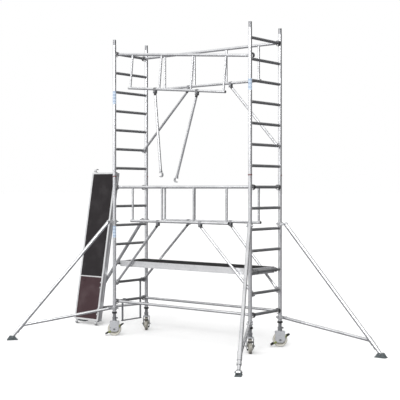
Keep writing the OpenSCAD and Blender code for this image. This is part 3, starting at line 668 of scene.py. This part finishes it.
# %% Bolt heads
def bolt_ends(name, body, places, across_flats=0.017):
    """places: (middle of the bolt, its direction, half its length)."""
    whole = bmesh.new()
    for centre, direction, half in places:
        for side in (-1, 1):
            at = along(side * Vector(direction), Vector(centre) + side * half * Vector(direction))
            washer = at @ Matrix.Translation((0, 0, 0.0009))
            bmesh.ops.create_cone(whole, cap_ends=True, segments=20, radius1=across_flats * 0.72,
                                  radius2=across_flats * 0.70, depth=0.0018, matrix=washer)
            for low, high, r1, r2 in ((0.0016, 0.0062, 0.577, 0.577), (0.0062, 0.0078, 0.577, 0.48)):
                bmesh.ops.create_cone(whole, cap_ends=True, segments=6, radius1=across_flats * r1,
                                      radius2=across_flats * r2, depth=high - low,
                                      matrix=at @ Matrix.Translation((0, 0, (low + high) / 2)))
    mesh = bpy.data.meshes.new(name)
    mesh.materials.append(coupler_steel)
    whole.to_mesh(mesh)
    whole.free()
    made = bpy.data.objects.new(name, mesh)
    bpy.context.scene.collection.objects.link(made)
    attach(made, body)
    return made


# Half the length of each kind of bolt
PIVOT_HALF, AXLE_HALF, FOOT_HALF = 0.0294, 0.0564, 0.0386
pivots = {"tower": [], "upper_front_guard": []}
for joint in frame["joints"]:
    if joint["name"].endswith("_swing") and joint["parent"] in pivots and "diagonal" in joint["name"]:
        pivots[joint["parent"]].append((joint["pos_m"], (0, 1, 0), PIVOT_HALF))
for body, places in pivots.items():
    bolt_ends(f"pivot_bolts_{body}", body, places)
# Each coupler bolt: its distance from the post, its height, half its length
COUPLER_BOLTS = ((0.084, 1.676, 0.0394), (0.078, 0.400, 0.0354))
for c in CORNERS:
    spin_axis = Vector(joints[f"castor_wheel_{c}_spin"]["axis"])
    bolt_ends(f"axle_nuts_{c}", f"castor_fork_{c}", [(axle[c], spin_axis, AXLE_HALF)], 0.019)
    tilt = joints[f"stabiliser_foot_{c}_tilt"]
    bolt_ends(f"foot_bolts_{c}", f"stabiliser_foot_{c}", [(tilt["pos_m"], tilt["axis"], FOOT_HALF)], 0.016)
    post = Vector((axle[c].x, axle[c].y, 0))
    outward = (Vector(tilt["pos_m"]) - post).to_2d().normalized().to_3d()
    bolt_ends(f"coupler_bolts_{c}", f"stabiliser_arm_{c}",
              [(post + reach * outward + Vector((0, 0, z)), tilt["axis"], half)
               for reach, z, half in COUPLER_BOLTS], 0.018)

# %% [markdown]
# ## Black sockets on the diagonals
# A swinging diagonal ends in a moulded socket, which is what turns on the bolt. It is a
# short sleeve over the tube's end with a rounded mouth, so it is drawn as one profile and
# spun about the tube. The tube runs from its bolt to its hook, and the frame knows both.

# %% Sockets on the diagonals' upper ends
def socket_mesh(name, place):
    """A profile of (distance from the tube's axis, height), spun about Z."""
    profile = ((0.0182, 0.0065), (0.0186, 0.0060), (0.0187, -0.046), (0.0184, -0.0475), (0.01805, -0.0475),
               (0.01805, 0.0065))
    whole = bmesh.new()
    turns = 28
    rings = [[whole.verts.new((r * math.cos(2 * math.pi * k / turns), r * math.sin(2 * math.pi * k / turns), z))
              for r, z in profile] for k in range(turns)]
    for k in range(turns):
        here, there = rings[k], rings[(k + 1) % turns]
        for j in range(len(profile)):
            i = (j + 1) % len(profile)
            whole.faces.new((here[j], here[i], there[i], there[j]))
    bmesh.ops.recalc_face_normals(whole, faces=whole.faces)
    whole.transform(place)
    mesh = bpy.data.meshes.new(name)
    mesh.materials.append(black_nylon)
    whole.to_mesh(mesh)
    whole.free()
    made = bpy.data.objects.new(name, mesh)
    bpy.context.scene.collection.objects.link(made)
    return made


def tube_direction(node_name, pivot):
    """From the tube's far end up to its bolt: the far end is the middle of the lowest points."""
    points = [v.co for v in nodes[node_name].data.vertices]
    lowest = min(p.z for p in points)
    foot = [p for p in points if p.z < lowest + 0.10]
    centre = sum(foot, Vector()) / len(foot)
    return (pivot - Vector((centre.x, pivot.y, centre.z))).normalized()


diagonals = [j for j in frame["joints"] if "diagonal" in j["name"]]
for joint in diagonals:
    name, pivot = joint["child"], Vector(joint["pos_m"])
    sleeve = socket_mesh(f"socket_{name}", along(tube_direction(name, pivot), pivot))
    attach(sleeve, name)
print("sockets on", len(diagonals), "diagonals")

# %% [markdown]
# ## Pads on the rockers
# Each end of a brake rocker is a foot pad with raised bars, so that a boot doesn't slip
# off. The bars run across the pad, at right angles to the rocker, whose slope is the
# angle between its ends as the frame stores it.

# %% Rocker bars
ROCKER_SLOPE = math.radians(30)
BAR_REACH = 0.140
BAR_PITCH = 0.0066
for c in CORNERS:
    spin_axis = Vector(joints[f"castor_wheel_{c}_spin"]["axis"])
    level = Vector((-spin_axis.y, spin_axis.x, 0))
    up_slope = Matrix((spin_axis, level, Vector((0, 0, 1)))).transposed().to_4x4()
    place = Matrix.Translation(axle[c]) @ up_slope @ Matrix.Rotation(ROCKER_SLOPE, 4, "X")
    bars = [row(block_row, place, (0, end * BAR_REACH - BAR_PITCH, 0.0088), (0, BAR_PITCH, 0), 3,
                (0.070, 0.0028, 0.0024), black_nylon) for end in (-1, 1)]
    pad_bars = gather(f"rocker_bars_{c}", bars)
    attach(pad_bars, f"brake_pedal_{c}")
print("rocker bars ride on", len(CORNERS), "rockers")

# %% [markdown]
# ## Springs on the hooks' latches
# Each wind latch is closed by a small torsion spring on the hook's flank. Curve Spiral with
# a little height is that coil, and Curve to Mesh gives the wire its thickness.

# %% Latch springs
def spring_tree():
    tree, given = start_tree("latch_spring", Turns="float", Radius="float", Length="float", Wire="float",
                             Metal="material")
    coil = node(tree, "GeometryNodeCurveSpiral", Resolution=14, Rotations=given["Turns"],
                Start_Radius=given["Radius"], End_Radius=given["Radius"], Height=given["Length"])
    wire = node(tree, "GeometryNodeCurvePrimitiveCircle", Resolution=6, Radius=given["Wire"])
    shape = node(tree, "GeometryNodeCurveToMesh", Curve=coil.outputs[0], Profile_Curve=wire.outputs[0],
                 Fill_Caps=True)
    end_tree(tree, shape.outputs[0], given["Metal"], rounded=True)
    return tree


latch_spring = spring_tree()
guard_front, guard_rear = (Vector(joints[f"lower_{side}_diagonal_left_swing"]["pos_m"]).y
                           for side in ("front", "rear"))
hook_lines = [(guard_front, first_rung), (guard_rear, first_rung)]
hook_lines += [(y, first_rung + 6 * rung_pitch) for y in (guard_front, guard_rear)]
hook_lines.append((guard_rear, first_rung + 13 * rung_pitch))
springs = []
for y, z in hook_lines:
    for side in (-1, 1):
        at = Vector((side * (tower_x - 0.040), y - 0.0215, z + 0.002))
        springs.append(grow("spring", latch_spring, along((0, 1, 0), at), Turns=4.0, Radius=0.0065,
                            Length=0.006, Wire=0.0008, Metal=coupler_steel))
hook_springs = gather("hook_springs", springs)
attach(hook_springs, "tower")
print("springs:", len(springs), "in one mesh of", len(hook_springs.data.polygons), "faces")

# %% [markdown]
# ## Floor, light and camera
# The tower stands in a plain pale studio. Bright metal shows whatever surrounds it, so the
# world is light above and in front, and dark below and behind. Reflections see a dark
# floor too, although the camera sees a pale one: that is what gives a round tube its dark
# underside. Two large lamps in front fill the faces that look at the camera.

# %% Floor
floor_mesh = bpy.data.meshes.new("studio_floor")
REACH = 300.0
floor_mesh.from_pydata([(-REACH, -REACH, 0), (REACH, -REACH, 0), (REACH, REACH, 0), (-REACH, REACH, 0)], [],
                       [(0, 1, 2, 3)])
floor = bpy.data.objects.new("studio_floor", floor_mesh)
bpy.context.scene.collection.objects.link(floor)
floor_finish, tree, shader, where, xyz = start("studio_floor_finish", specular=0.2)
seen = node(tree, "ShaderNodeLightPath").outputs["Is Camera Ray"]
paper = blend_colour(tree, seen, (0.20, 0.20, 0.21), (0.93, 0.93, 0.93))
dress(tree, shader, paper, band(tree, noise(tree, where, 2.0), 0.3, 0.7, 0.8, 0.9), None)
shader.inputs["Emission Color"].default_value = (1, 1, 1, 1)
glow = maths(tree, "MULTIPLY", seen, 0.12)
tree.links.new(glow, shader.inputs["Emission Strength"])
floor_mesh.materials.append(floor_finish)


# %% World: light above and in front, dark below
def studio_world():
    world = bpy.data.worlds.new("studio")
    world.use_nodes = True
    tree = world.node_tree
    tree.nodes.clear()
    look = node(tree, "ShaderNodeTexCoord").outputs["Generated"]
    sideways = node(tree, "ShaderNodeVectorMath", {"operation": "DOT_PRODUCT"}, i0=look,
                    i1=(-0.30, -0.38, 0.80)).outputs[1]
    light = band(tree, sideways, -0.30, 0.45, 0.03, 0.95)
    seen = node(tree, "ShaderNodeLightPath").outputs["Is Camera Ray"]
    level = node(tree, "ShaderNodeMix", {"data_type": "FLOAT"}, i0=seen, i2=light, i3=1.0).outputs[0]
    sky = node(tree, "ShaderNodeBackground", Strength=level)
    sky.inputs["Color"].default_value = (1, 1, 1, 1)
    node(tree, "ShaderNodeOutputWorld", Surface=sky.outputs[0])
    bpy.context.scene.world = world


studio_world()


# %% Lamps
def lamp(name, kind, power, place, target, size):
    data = bpy.data.lights.new(name, kind)
    data.energy = power
    if kind == "AREA":
        data.shape = "RECTANGLE"
        data.size, data.size_y = size
    else:
        data.angle = size[0]
    made = bpy.data.objects.new(name, data)
    made.location = place
    made.rotation_euler = (Vector(target) - Vector(place)).to_track_quat("-Z", "Y").to_euler()
    bpy.context.scene.collection.objects.link(made)


middle = (0, tower_y, 2.0)
lamp("front_softbox", "AREA", 360, (6.5, -9.0, 6.5), middle, (5.0, 5.0))
lamp("left_softbox", "AREA", 200, (-4.0, -10.0, 5.0), middle, (4.0, 6.0))
lamp("soft_sun", "SUN", 1.1, (4, -6, 9), middle, (0.5, 0))

# %% Camera
camera_data = bpy.data.cameras.new("camera")
camera_data.lens = 84.58
camera_data.sensor_width = 36
camera_data.shift_y = -0.0284
camera = bpy.data.objects.new("camera", camera_data)
camera.location = (8.391, -9.849, 2.158)
camera.rotation_euler = (math.radians(90), 0, math.radians(38.653))
bpy.context.scene.collection.objects.link(camera)
bpy.context.scene.camera = camera
bpy.context.scene.view_settings.view_transform = "Standard"
print("camera is", round((Vector(middle) - camera.location).length, 2), "m from the tower")
